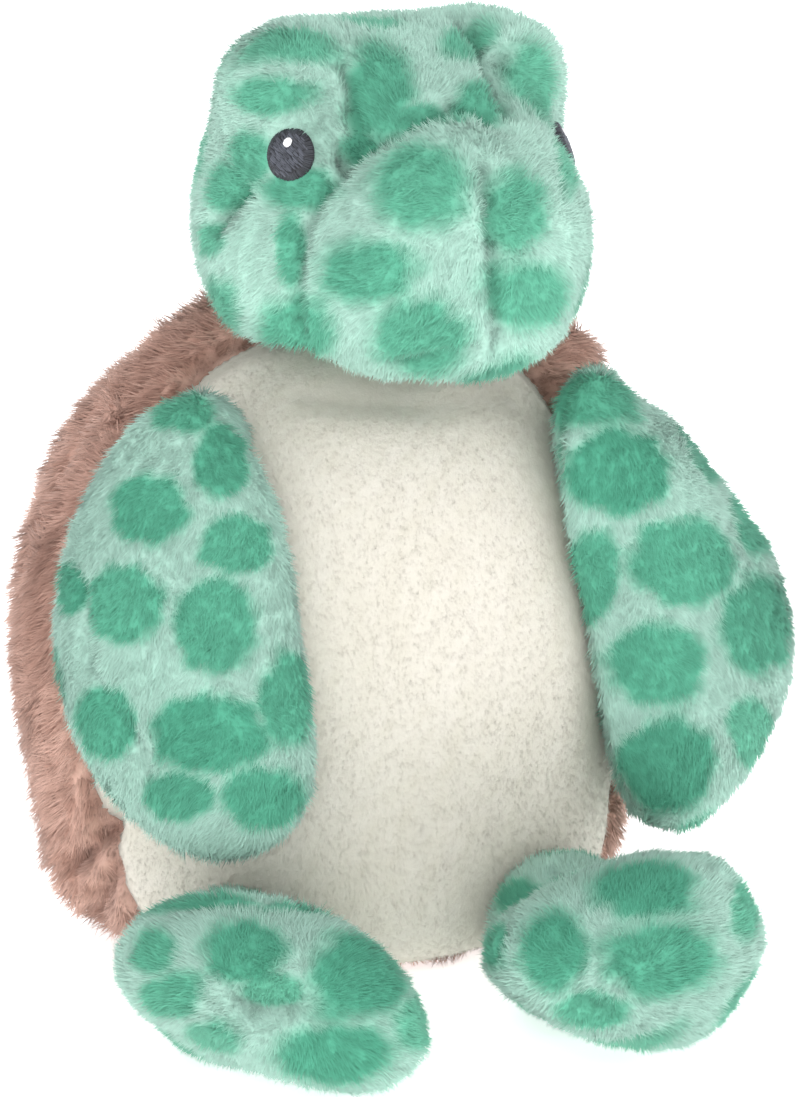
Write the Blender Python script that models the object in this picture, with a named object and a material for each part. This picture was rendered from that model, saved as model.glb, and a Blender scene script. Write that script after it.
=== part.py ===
"""A plush turtle that sits upright: sewn covers over stuffing.

Metres, +Z up, the turtle looks towards -Y, so its own left side is at +X. The origin is on the floor
under the middle of the seat. Every stuffed form is a field of soft-blended lobes. A cover is a panel of
that field's surface with the thickness of the cloth, and the stuffing is the same surface sunk inwards.
"""

import math

import bmesh
import bpy
import numpy as np
from mathutils import Matrix, Vector

MM = 0.001

# Cloth and fit
COVER_THICKNESS = 3.0 * MM  # backing cloth with its dense pile pressed flat
SEAM_GAP = 0.7 * MM  # between two panels that are sewn together
STUFFING_GAP = 1.1 * MM  # between the facets of a cover and its stuffing
CONTACT_GAP = 1.3 * MM  # between two forms that press on each other
HIP_GAP = 1.0 * MM  # between the small thigh and the torso behind it
ARM_REST_GAP = 3.0 * MM  # between the tip of an arm and the leg under it
NECK_SEAT_GAP = 0.6 * MM  # between the small neck and the torso under it
NECK_ROOM_RISE = 0.6 * MM  # from the neck's top to the hollow in the head
NECK_ROOM_ROUND = 10.0 * MM  # how much wider than the neck that hollow is
REST_FLAT_DEPTH = 0.5 * MM  # what the floor flattens under a soft form
SEAT_SINK = 4.0 * MM  # how far its weight flattens a form before the gentle crown under it
SEAT_CROWN_RADIUS = 900.0 * MM
FOOT_CROWN_RADIUS = 350.0 * MM
BLEND_RADIUS = 16.0 * MM  # how softly two lobes of a form run together
SEARCH_LENGTH = 160.0 * MM  # longest way from a form's middle to its surface
SEARCH_STEPS = 30
HALVINGS = 18
SETTLING_GRID = (48, 32)  # how many ways round and down the lowest point of a form is looked for

# Torso: the cream belly in front and the brown shell behind
TORSO_WIDTH = 174.0 * MM
TORSO_DEPTH = 142.0 * MM
TORSO_HEIGHT = 180.0 * MM
TORSO_LOBE_SHARES = {
    "seat": ((0, -0.04, 0.125), (0.50, 0.46, 0.13)),
    "belly": ((0, 0.01, 0.42), (0.5, 0.5, 0.42)),
    "shoulders": ((0.02, -0.05, 0.59), (0.41, 0.40, 0.375)),
    "shell_top": ((0.03, 0.14, 0.66), (0.36, 0.34, 0.345)),
    "right_shell_shoulder": ((-0.155, 0.14, 0.675), (0.21, 0.28, 0.26)),
    "left_shell_shoulder": ((0.23, 0.14, 0.675), (0.21, 0.28, 0.26)),
}
BELLY_SEAM_DEG = 66  # from straight ahead to the seam between belly and shell rim
SHELL_SEAM_DEG = 98  # from straight ahead to the seam between shell rim and shell back
BEAN_POUCH_HEIGHT = 20.0 * MM
BEAN_POUCH_GAP = 1.2 * MM

# Neck: the ring of stuffing that the head turns and nods on
NECK_FORWARD = 14.0 * MM
NECK_ASIDE = 4.0 * MM  # the toy leans a little to its left
NECK_HEIGHT = 175.0 * MM
NECK_RADIUS = 20.0 * MM
NECK_THICKNESS = 14.0 * MM
NECK_RISE = 3.0 * MM  # from the pivot up to the middle of the neck

# Head, measured from the neck pivot
HEAD_WIDTH = 95.0 * MM
HEAD_DEPTH = 108.0 * MM
HEAD_HEIGHT = 86.0 * MM
HEAD_FORWARD = 8.0 * MM
HEAD_RISE = 40.0 * MM
HEAD_LOBE_SHARES = {
    "skull": ((0, -0.01, 0), (0.49, 0.38, 0.48)),
    "right_brow": ((-0.33, 0.05, 0.325), (0.18, 0.16, 0.17)),
    "left_brow": ((0.33, 0.05, 0.325), (0.18, 0.16, 0.17)),
    "right_cheek": ((-0.34, 0.06, -0.19), (0.19, 0.25, 0.29)),
    "left_cheek": ((0.34, 0.06, -0.19), (0.19, 0.25, 0.29)),
    "muzzle": ((0, 0.34, -0.11), (0.37, 0.27, 0.38)),
    "chin": ((0, 0.27, -0.35), (0.31, 0.25, 0.17)),
}
HEAD_TURN_DEG = 18  # towards the turtle's left
HEAD_TILT_DEG = 2
CHEEK_SEAM_DEG = 51
MUZZLE_FOLD_DEG = 42
MOUTH_SEAM_DEG = -52
NAPE_SEAM_DEG = 205

# Eyes, embroidered on the cheek panels
EYE_WIDTH = 12.4 * MM
EYE_HEIGHT = 13.6 * MM
EYE_RAISE = 1.3 * MM
EYE_SEAT_GAP = 0.9 * MM
RIGHT_EYE = {"lateral": -38.0 * MM, "forward": 19.6 * MM, "rise": 11.3 * MM}
LEFT_EYE = {"lateral": 36.0 * MM, "forward": 27.0 * MM, "rise": 10.0 * MM}
GLINT_WIDTH = 2.4 * MM
GLINT_HEIGHT = 3.2 * MM
GLINT_RAISE = 0.7 * MM
GLINT_RISE = 2.8 * MM  # above the middle of the eye

# Arms: long flippers that hang from the shoulders
ARM_WIDTH = 68.0 * MM
ARM_THICKNESS = 32.0 * MM
ARM_LOBE_SHARES = {
    "paddle": ((0.22, 0, 0.53), (0.5, 0.5, 0.40)),
    "shoulder": ((0.07, 0, 0.25), (0.30, 0.42, 0.27)),
    "tip": ((0.04, 0, 0.81), (0.31, 0.36, 0.18)),
}
# An arm's tip height is that of its tip above the floor when the arm hangs straight down.
RIGHT_ARM = {"side": -1, "out": 48.0 * MM, "forward": 46.0 * MM, "facing": 35, "lean": -13, "raise": 13}
RIGHT_ARM |= {"length": 120.0 * MM, "tip_height": 46.0 * MM}
LEFT_ARM = {"side": 1, "out": 54.0 * MM, "forward": 47.0 * MM, "facing": 20, "lean": 11, "raise": 6}
LEFT_ARM |= {"length": 132.0 * MM, "tip_height": 34.0 * MM}

# Legs: a short thigh and a padded foot with its sole to the front
THIGH_LENGTH = 74.0 * MM
THIGH_SEAT = 22.0 * MM  # how far the thigh would reach past the hip if the body didn't press it in
THIGH_WIDTH = 44.0 * MM
THIGH_HEIGHT = 42.0 * MM
FOOT_WIDTH = 86.0 * MM
FOOT_THICKNESS = 44.0 * MM
FOOT_HEIGHT = 54.0 * MM
HIP_OUT = 42.0 * MM
HIP_FORWARD = 54.0 * MM
HIP_HEIGHT = 24.0 * MM
RIGHT_LEG = {"side": -1, "reach": 57.0 * MM, "splay": 2, "roll": -19, "turn": -16, "pitch": 14}
RIGHT_LEG |= {"swing_gap": 2.0 * MM}  # from the body once the leg swings, so that no facets meet
LEFT_LEG = {"side": 1, "reach": 55.0 * MM, "splay": 8, "roll": -4, "turn": 4, "pitch": 14}
LEFT_LEG |= {"swing_gap": 1.4 * MM}
SOLE_SEAM_DEG = 62
LEG_MIDDLE_SHARE = 0.3  # of the way from the foot's middle to the thigh's

# How far each joint goes, in degrees from the pose in which the turtle sits
HEAD_TURN_RANGE = (-56, 22)
HEAD_NOD_RANGE = (0, 12)
ARM_RAISE_RANGE = (0, 60)
LEG_SPLAY_RANGE = (0, 14)

# At how many angles of each joint a form is pressed in
HEAD_STEPS = (7, 3)
HOLLOW_STEPS = (2, 4)
HEAD_OVER_ARM_STEPS = (4, 2)
ARM_STEPS = 5
ARM_OVER_LEG_STEPS = 9
LEG_STEPS = 5

# How many faces the forms get: round the pole, and from pole to pole
TORSO_GRID = (26, 14)
HEAD_GRID = (28, 15)
LIMB_GRID = (16, 9)
NECK_GRID = (14, 5)
EYE_GRID = (14, 3)

# Colours and surface
CREAM = ((0.80, 0.77, 0.68, 1), 0.95)
SHELL_BROWN = ((0.48, 0.30, 0.24, 1), 0.95)
MINT = ((0.42, 0.72, 0.59, 1), 0.95)
SOLE_GREEN = ((0.16, 0.50, 0.35, 1), 0.95)
STUFFING_WHITE = ((0.85, 0.85, 0.83, 1), 0.9)
BEAN_GREY = ((0.55, 0.55, 0.52, 1), 0.7)
EYE_GREY = ((0.07, 0.075, 0.09, 1), 0.6)
GLINT_WHITE = ((0.9, 0.9, 0.9, 1), 0.5)


def material(name, finish):
    """A plain material with a base colour and a roughness."""
    colour, roughness = finish
    made = bpy.data.materials.new(name)
    made.use_nodes = True
    shader = made.node_tree.nodes["Principled BSDF"]
    shader.inputs["Base Color"].default_value = colour
    shader.inputs["Roughness"].default_value = roughness
    shader.inputs["Metallic"].default_value = 0
    made.diffuse_color = colour
    return made


def turn_about(pivot, axis, degrees):
    """The matrix that turns a point about an axis through the pivot."""
    spin = Matrix.Rotation(math.radians(degrees), 4, Vector(axis))
    return Matrix.Translation(Vector(pivot)) @ spin @ Matrix.Translation(-Vector(pivot))


def moved(points, matrix):
    """World points taken through a matrix."""
    table = np.array(matrix)
    return points @ table[:3, :3].T + table[:3, 3]


def steps_of(span, count):
    """Evenly spaced joint angles over a range, both ends among them."""
    return [span[0] + (span[1] - span[0]) * i / (count - 1) for i in range(count)]


def soft_least(a, b, radius):
    """The smaller of two fields, rounded where they meet."""
    mix = np.clip(0.5 + 0.5 * (b - a) / radius, 0, 1)
    return b + (a - b) * mix - radius * mix * (1 - mix)


def first_crossing(field, longest):
    """Where each ray first leaves a field's inside, no further than its longest length."""
    near, far = np.zeros(len(longest)), longest.copy()
    found = np.zeros(len(longest), bool)
    for share in np.linspace(0, 1, SEARCH_STEPS + 1)[1:]:
        fresh = (field(longest * share) > 0) & ~found
        far[fresh] = longest[fresh] * share
        found |= fresh
    near[found] = far[found] - longest[found] / SEARCH_STEPS
    for _ in range(HALVINGS):
        half = (near + far) / 2
        outside = field(half) > 0
        far, near = np.where(outside, half, far), np.where(outside, near, half)
    return np.where(found, near, longest)


class Form:
    """A stuffed form: lobes in a frame of its own, pressed in by its neighbours and by the floor."""

    def __init__(self, lobes, frame, middle, blend=BLEND_RADIUS):
        self.lobes = [(np.array(centre), np.array(radii)) for centre, radii in lobes]
        self.frame = frame
        self.middle = Vector(middle)
        self.blend = blend
        self.presses = []
        self.crown = None  # the middle and radius of the shallow ball that its underside follows
        self.pole = Vector((0, -1, 0))  # where the rings of its surface start

    def start(self):
        """The point in the world that every ray to the surface starts from."""
        return self.frame @ self.middle

    def bare(self, points):
        """Distance to the form before anything presses on it, below zero inside."""
        own = moved(points, self.frame.inverted())
        field = None
        for centre, radii in self.lobes:
            scaled = (own - centre) / radii
            near = np.linalg.norm(scaled, axis=1)
            slope = np.maximum(np.linalg.norm(scaled / radii, axis=1), 1)
            lobe = near * (near - 1) / slope
            field = lobe if field is None else soft_least(field, lobe, self.blend)
        return field

    def resting(self, points):
        """Distance to the form as the floor leaves it."""
        field = np.maximum(self.bare(points), -points[:, 2])
        if self.crown:
            middle, radius = self.crown
            field = np.maximum(field, np.linalg.norm(points - np.array(middle), axis=1) - radius)
        return field

    def field(self, points):
        """Distance to the form as the floor and its neighbours, at every pose, leave it."""
        field = self.resting(points)
        for other, motions, gap in self.presses:
            for motion in motions:
                field = np.maximum(field, gap - other.bare(moved(points, motion)))
        return field

    def reach(self, directions, sink=0.0):
        """World points of the surface, sunk in by a depth, along unit directions from the middle."""
        start = np.array(self.start())

        def unpressed(length):
            return self.resting(start + directions * length[:, None]) + sink

        def pressed(length):
            return self.field(start + directions * length[:, None]) + sink

        length = first_crossing(unpressed, np.full(len(directions), SEARCH_LENGTH))
        if self.presses:
            length = first_crossing(pressed, length)
        return start + directions * length[:, None]

    def settle(self, crown_radius):
        """Lowers the form onto the floor, which leaves a shallow crown and a small flat under it."""
        self.frame = Matrix.Translation((0, 0, SEARCH_LENGTH)) @ self.frame
        points = self.reach(sphere_directions(self, Vector((0, 0, 1)), SETTLING_GRID))
        self.frame = Matrix.Translation((0, 0, -points[:, 2].min() - SEAT_SINK)) @ self.frame
        start = self.start()
        self.crown = (Vector((start.x, start.y, crown_radius - REST_FLAT_DEPTH)), crown_radius)


def spread(form):
    """How wide the form's lobes are along its own axes, so that faces spread evenly over it."""
    low = np.min([centre - radii for centre, radii in form.lobes], axis=0)
    high = np.max([centre + radii for centre, radii in form.lobes], axis=0)
    return (high - low) / 2


def direction(form, pole, around, down):
    """Unit world direction for an angle round the pole and an angle away from it, in degrees."""
    side = Vector((0, 0, 1)) if abs(pole.z) < 0.5 else Vector((0, -1, 0))
    across = pole.cross(side).normalized()
    side = across.cross(pole)
    round_angle, down_angle = math.radians(around), math.radians(down)
    ring = side * math.cos(round_angle) + across * math.sin(round_angle)
    unit = pole * math.cos(down_angle) + ring * math.sin(down_angle)
    stretched = Vector([u * s for u, s in zip(unit, spread(form))])
    return (form.frame.to_3x3() @ stretched).normalized()


def sphere_directions(form, pole, grid):
    """Directions all round a form."""
    rounds, rings = grid
    return np.array(
        [
            direction(form, pole, 360 * i / rounds, 180 * j / rings)
            for j in range(rings + 1)
            for i in range(rounds)
        ]
    )


def object_of(name, mesh_builder, finish):
    """An object from a bmesh, with its faces pointing out."""
    bmesh.ops.recalc_face_normals(mesh_builder, faces=mesh_builder.faces)
    mesh = bpy.data.meshes.new(name)
    mesh_builder.to_mesh(mesh)
    mesh_builder.free()
    mesh.shade_smooth()
    made = bpy.data.objects.new(name, mesh)
    made.data.materials.append(finish)
    bpy.context.scene.collection.objects.link(made)
    return made


def hang_on(made, pivot):
    """Puts the object's origin on its joint without moving its shape."""
    made.data.transform(Matrix.Translation(-Vector(pivot)))
    made.location = pivot


def sheet_faces(builder, rows, closed_round):
    """Faces between rows of vertices. A row of one vertex is a pole."""
    for upper, lower in zip(rows[:-1], rows[1:]):
        count = max(len(upper), len(lower))
        for i in range(count if closed_round else count - 1):
            j = (i + 1) % count
            if len(upper) == 1:
                builder.faces.new((upper[0], lower[j], lower[i]))
            elif len(lower) == 1:
                builder.faces.new((upper[i], upper[j], lower[0]))
            else:
                builder.faces.new((upper[i], upper[j], lower[j], lower[i]))


def spaced(stops, per_degree):
    """Angles that run through all the stops, near evenly spaced, and each stop's place among them."""
    angles, places = [stops[0]], [0]
    for low, high in zip(stops[:-1], stops[1:]):
        count = max(2, round((high - low) * per_degree))
        angles += [low + (high - low) * i / count for i in range(1, count + 1)]
        places.append(len(angles) - 1)
    return angles, places


class Layout:
    """How a form's surface is cut: seams round a pole, and seams that run from pole to pole."""

    def __init__(self, pole, grid, seam_radius, down_seams=(), around_seams=(0,)):
        rounds, rings = grid
        self.pole = pole
        self.half_gap = math.degrees(SEAM_GAP / seam_radius) / 2
        self.downs, self.down_stops = spaced((0, *down_seams, 180), rings / 180)
        around_stops = (*around_seams, around_seams[0] + 360)
        self.arounds, self.around_stops = spaced(around_stops, rounds / 360)

    def cut(self, angles, stops, first, last):
        """The angles from one stop to another, drawn in by half the seam gap where there is a seam."""
        part = angles[stops[first] : stops[last] + 1]
        part[0] += self.half_gap if part[0] != 0 else 0
        part[-1] -= self.half_gap if part[-1] != 180 else 0
        return part

    def panel_downs(self, first, last):
        """Angles away from the pole for a panel between two stops."""
        return self.cut(self.downs, self.down_stops, first, last)

    def panel_arounds(self, first, last):
        """Angles round the pole for a panel between two stops."""
        part = self.arounds[self.around_stops[first] : self.around_stops[last] + 1]
        part[0] += self.half_gap
        part[-1] -= self.half_gap
        return part


def rows_of(builder, form, pole, arounds, downs, sink):
    """Rows of vertices on the form's surface, one for each angle away from the pole."""
    aims = [[(a, down) for a in (arounds if 0 < down < 180 else arounds[:1])] for down in downs]
    rays = np.array([direction(form, pole, *aim) for row in aims for aim in row])
    made = [builder.verts.new(point) for point in form.reach(rays, sink)]
    rows, used = [], 0
    for row in aims:
        rows.append(made[used : used + len(row)])
        used += len(row)
    return rows


def panel(name, form, finish, layout, downs, arounds=None):
    """A sewn panel of a form's cover: outer side, inner side and the cut edges between them."""
    closed_round = arounds is None
    angles = layout.arounds[:-1] if closed_round else layout.panel_arounds(*arounds)
    levels = layout.panel_downs(*downs)
    builder = bmesh.new()
    outer = rows_of(builder, form, layout.pole, angles, levels, 0.0)
    inner = rows_of(builder, form, layout.pole, angles, levels, COVER_THICKNESS)
    sheet_faces(builder, outer, closed_round)
    sheet_faces(builder, inner, closed_round)
    for end in (0, -1):
        if len(outer[end]) > 1:
            sheet_faces(builder, (outer[end], inner[end]), closed_round)
    if not closed_round:
        for side in (0, -1):
            for row in range(len(levels) - 1):
                corners = (outer[row][side], outer[row + 1][side], inner[row + 1][side], inner[row][side])
                builder.faces.new(corners)
    bmesh.ops.triangulate(builder, faces=builder.faces, quad_method="FIXED")
    return object_of(name, builder, finish)


def filling(name, form, finish, layout, sink=COVER_THICKNESS + STUFFING_GAP):
    """The stuffing of a form: its whole surface, sunk in under the cover."""
    builder = bmesh.new()
    rows = rows_of(builder, form, layout.pole, layout.arounds[:-1], layout.downs, sink)
    sheet_faces(builder, rows, True)
    bmesh.ops.triangulate(builder, faces=builder.faces, quad_method="FIXED")
    return object_of(name, builder, finish)


def split_level(source, name, finish, height, gap):
    """Cuts a filling at a level. The source keeps what lies above, and a new object gets the rest."""
    lower = bmesh.new()
    lower.from_mesh(source.data)
    upper = lower.copy()
    for builder, level, below in ((upper, height + gap, True), (lower, height, False)):
        cut = bmesh.ops.bisect_plane(
            builder,
            geom=builder.verts[:] + builder.edges[:] + builder.faces[:],
            plane_co=(0, 0, level),
            plane_no=(0, 0, 1),
            clear_inner=below,
            clear_outer=not below,
        )
        rim = [edge for edge in cut["geom_cut"] if isinstance(edge, bmesh.types.BMEdge)]
        bmesh.ops.triangle_fill(builder, use_beauty=True, edges=rim)
        bmesh.ops.recalc_face_normals(builder, faces=builder.faces)
    upper.to_mesh(source.data)
    upper.free()
    return object_of(name, lower, finish)


def lobes_from(shares, size, origin=(0, 0, 0)):
    """Lobes in metres from shares of a form's three sizes."""
    return [
        (
            [o + c * s for o, c, s in zip(origin, centre, size)],
            [r * s for r, s in zip(radii, size)],
        )
        for centre, radii in shares.values()
    ]


def torso_form():
    """Belly and shell as one soft form on the floor."""
    size = (TORSO_WIDTH, TORSO_DEPTH, TORSO_HEIGHT)
    form = Form(lobes_from(TORSO_LOBE_SHARES, size), Matrix.Identity(4), (0, 0, TORSO_HEIGHT / 2))
    form.settle(SEAT_CROWN_RADIUS)
    return form


def neck_pivot():
    """Where the head turns and nods."""
    return Vector((NECK_ASIDE, -NECK_FORWARD, NECK_HEIGHT))


def head_frame():
    """The head's own frame: its width on X, forward on Y and up on Z, about the neck pivot."""
    forward = Matrix.Rotation(math.radians(180), 4, "Z")
    mirror = Matrix.Scale(-1, 4, (1, 0, 0))
    tilt = Matrix.Rotation(math.radians(HEAD_TILT_DEG), 4, "Y")
    turn = Matrix.Rotation(math.radians(HEAD_TURN_DEG), 4, "Z")
    return Matrix.Translation(neck_pivot()) @ turn @ tilt @ forward @ mirror


def head_form():
    """Skull, brows, cheeks, muzzle and chin as one soft form."""
    size = (HEAD_WIDTH, HEAD_DEPTH, HEAD_HEIGHT)
    middle = (0, HEAD_FORWARD, HEAD_RISE)
    return Form(lobes_from(HEAD_LOBE_SHARES, size, middle), head_frame(), middle)


def neck_form(round_by=0.0, rise_by=0.0):
    """The flat ring of stuffing between torso and head, or the wider hollow that it turns in."""
    radius = NECK_RADIUS + round_by
    lobe = ((0, 0, NECK_RISE), (radius, radius, NECK_THICKNESS / 2 + rise_by))
    return Form([lobe], Matrix.Translation(neck_pivot()), (0, 0, NECK_RISE + NECK_THICKNESS / 4))


def shoulder(arm):
    """Where an arm is sewn on."""
    return Vector((arm["side"] * arm["out"], -arm["forward"], arm["tip_height"] + arm["length"]))


def arm_axes(arm):
    """An arm's directions: outwards along its width, off the body through its flat side, and down it."""
    facing = math.radians(arm["facing"])
    off = Vector((arm["side"] * math.sin(facing), -math.cos(facing), 0))
    out = Vector((arm["side"] * math.cos(facing), math.sin(facing), 0))
    lifted = math.radians(arm["raise"])
    along = Vector((0, 0, -math.cos(lifted))) + off * math.sin(lifted)
    lean = math.radians(arm["lean"])
    leaned = along * math.cos(lean) + out * math.sin(lean)
    width = out * math.cos(lean) - along * math.sin(lean)
    return width, leaned.cross(width) * arm["side"], leaned, out


def arm_form(arm):
    """Shoulder, paddle and tip of one flipper."""
    width, off, along, _ = arm_axes(arm)
    frame = Matrix.Translation(shoulder(arm)) @ Matrix((width, off, along)).transposed().to_4x4()
    size = (ARM_WIDTH, ARM_THICKNESS, arm["length"])
    middle = [c * s for c, s in zip(ARM_LOBE_SHARES["paddle"][0], size)]
    return Form(lobes_from(ARM_LOBE_SHARES, size), frame, middle)


def hip(leg):
    """Where a leg is sewn on."""
    return Vector((leg["side"] * HIP_OUT, -HIP_FORWARD, HIP_HEIGHT))


def leg_form(leg):
    """A padded foot, turned about its middle, with the level thigh behind it."""
    splay = Matrix.Rotation(math.radians(leg["side"] * leg["splay"]), 4, "Z")
    carried = Matrix.Translation(hip(leg)) @ splay @ Matrix.Translation((0, -leg["reach"], 0))
    turn = Matrix.Rotation(math.radians(leg["turn"]), 4, "Z")
    roll = Matrix.Rotation(math.radians(-leg["roll"]), 4, "Y")
    pitch = Matrix.Rotation(math.radians(leg["pitch"]), 4, "X")
    foot_turn = turn @ roll @ pitch
    foot = ((0, 0, 0), (FOOT_WIDTH / 2, FOOT_THICKNESS / 2, FOOT_HEIGHT / 2))
    back = leg["reach"] + THIGH_SEAT - THIGH_LENGTH / 2
    behind = Vector((0, back, (THIGH_HEIGHT - FOOT_HEIGHT) / 2))
    thigh_middle = foot_turn.inverted() @ behind
    thigh = (thigh_middle, (THIGH_WIDTH / 2, THIGH_LENGTH / 2, THIGH_HEIGHT / 2))
    form = Form([foot, thigh], carried @ foot_turn, thigh_middle * LEG_MIDDLE_SHARE)
    form.pole = -Vector([m / s for m, s in zip(thigh_middle, spread(form))]).normalized()
    form.settle(FOOT_CROWN_RADIUS)
    return form


def head_motions(turns, nods):
    """The head's motions over its two joints."""
    pivot = neck_pivot()
    nod_axis = head_frame().to_3x3() @ Vector((-1, 0, 0))
    nod_axis = Vector((nod_axis.x, nod_axis.y, 0)).normalized()
    return [
        turn_about(pivot, (0, 0, 1), turn) @ turn_about(pivot, nod_axis, nod)
        for turn in steps_of(HEAD_TURN_RANGE, turns)
        for nod in steps_of(HEAD_NOD_RANGE, nods)
    ]


def arm_motions(arm, count):
    """An arm's motions: its tip lifts off the belly."""
    axis = arm_axes(arm)[3] * arm["side"]
    return [turn_about(shoulder(arm), -axis, angle) for angle in steps_of(ARM_RAISE_RANGE, count)]


def leg_motions(leg, count):
    """A leg's motions: the foot swings outwards on the floor."""
    return [turn_about(hip(leg), (0, 0, leg["side"]), angle) for angle in steps_of(LEG_SPLAY_RANGE, count)]


def relative(own_motions, other_motions):
    """Every motion of one form as seen from another that moves too."""
    return [other.inverted() @ own for own in own_motions for other in other_motions]


def build_torso(form, paints):
    """Belly, shell rim, shell back, stuffing and the pouch of beans that weighs the seat down."""
    seams = (BELLY_SEAM_DEG, SHELL_SEAM_DEG)
    layout = Layout(Vector((0, -1, 0)), TORSO_GRID, TORSO_DEPTH / 2, seams)
    panel("belly_panel", form, paints["cream"], layout, (0, 1))
    panel("shell_rim_panel", form, paints["brown"], layout, (1, 2))
    panel("shell_back_panel", form, paints["brown"], layout, (2, 3))
    stuffing = filling("body_stuffing", form, paints["stuffing"], layout)
    split_level(stuffing, "seat_bean_pouch", paints["beans"], BEAN_POUCH_HEIGHT, BEAN_POUCH_GAP)


def build_head(form, paints):
    """The head's six panels, its stuffing and its eyes."""
    # Angles round the pole start straight up and go forwards and down.
    arounds = (90 - NAPE_SEAM_DEG, 90 - MUZZLE_FOLD_DEG, 90 - MOUTH_SEAM_DEG)
    downs = (CHEEK_SEAM_DEG, 90, 180 - CHEEK_SEAM_DEG)
    layout = Layout(Vector((-1, 0, 0)), HEAD_GRID, HEAD_WIDTH / 2, downs, arounds)
    mint = paints["mint"]
    made = [
        panel("right_cheek_panel", form, mint, layout, (0, 1)),
        panel("left_cheek_panel", form, mint, layout, (3, 4)),
        panel("crown_panel", form, mint, layout, (1, 3), (0, 1)),
        panel("right_muzzle_panel", form, mint, layout, (1, 2), (1, 2)),
        panel("left_muzzle_panel", form, mint, layout, (2, 3), (1, 2)),
        panel("chin_panel", form, mint, layout, (1, 3), (2, 3)),
        filling("head_stuffing", form, paints["stuffing"], layout),
    ]
    for name, place in (("right", RIGHT_EYE), ("left", LEFT_EYE)):
        middle = Vector((place["lateral"], HEAD_FORWARD + place["forward"], HEAD_RISE + place["rise"]))
        size = (EYE_WIDTH, EYE_HEIGHT)
        eye = patch(name + "_eye", form, paints["eye"], middle, size, EYE_SEAT_GAP, EYE_RAISE)
        shine_middle = middle + Vector((0, 0, GLINT_RISE))
        lift = EYE_RAISE + EYE_SEAT_GAP
        shine_size = (GLINT_WIDTH, GLINT_HEIGHT)
        glint = paints["glint"]
        shine = patch(name + "_eye_glint", form, glint, shine_middle, shine_size, lift, lift + GLINT_RAISE)
        made += [eye, shine]
    for piece in made:
        hang_on(piece, neck_pivot())


def patch(name, form, finish, middle, size, low, high):
    """A thin oval of thread that lies on a form, between two heights above its surface."""
    segments, rings = EYE_GRID
    start = np.array(form.start())
    ahead = (form.frame.to_3x3() @ (middle - form.middle)).normalized()
    centre = Vector(form.reach(np.array([ahead]))[0])
    up = Vector((0, 0, 1))
    across = up.cross(ahead).normalized()
    up = ahead.cross(across)
    circle = [2 * math.pi * i / segments for i in range(segments)]
    rounds = [circle if ring else circle[:1] for ring in range(rings + 1)]
    aims = []
    for ring, angles in enumerate(rounds):
        for angle in angles:
            aside = across * math.cos(angle) * size[0] / 2 + up * math.sin(angle) * size[1] / 2
            aims.append((centre + aside * ring / rings - Vector(start)).normalized())
    seated = form.reach(np.array(aims))
    builder = bmesh.new()
    sides = []
    for height in (high, low):
        rows, used = [], 0
        for ring, angles in enumerate(rounds):
            rim_drop = (high - low) * (ring / rings) ** 4 / 2 if height == high else 0
            row = []
            for point, aim in zip(seated[used : used + len(angles)], aims[used : used + len(angles)]):
                row.append(builder.verts.new(point + np.array(aim) * (height - rim_drop)))
            rows.append(row)
            used += len(angles)
        sheet_faces(builder, rows, True)
        sides.append(rows)
    sheet_faces(builder, (sides[0][-1], sides[1][-1]), True)
    bmesh.ops.triangulate(builder, faces=builder.faces, quad_method="FIXED")
    return object_of(name, builder, finish)


def build_neck(form, paints):
    """The stuffed ring under the head."""
    layout = Layout(Vector((0, 0, 1)), NECK_GRID, NECK_RADIUS)
    ring = filling("neck_stuffing", form, paints["stuffing"], layout, 0.0)
    hang_on(ring, neck_pivot())


def build_arm(name, arm, form, paints):
    """Front and back of a flipper, sewn round its outline, and its stuffing."""
    layout = Layout(Vector((0, 1, 0)), LIMB_GRID, ARM_THICKNESS / 2, (90,))
    made = [
        panel(name + "_front_panel", form, paints["mint"], layout, (0, 1)),
        panel(name + "_back_panel", form, paints["mint"], layout, (1, 2)),
        filling(name + "_stuffing", form, paints["stuffing"], layout),
    ]
    for piece in made:
        hang_on(piece, shoulder(arm))


def build_leg(name, leg, form, paints):
    """A leg's cover, the sole sewn into its rim, and its stuffing."""
    layout = Layout(form.pole, LIMB_GRID, FOOT_THICKNESS / 2, (SOLE_SEAM_DEG,))
    made = [
        panel(name + "_sole_panel", form, paints["sole"], layout, (0, 1)),
        panel(name + "_leg_panel", form, paints["mint"], layout, (1, 2)),
        filling(name + "_leg_stuffing", form, paints["stuffing"], layout),
    ]
    for piece in made:
        hang_on(piece, hip(leg))


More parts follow.
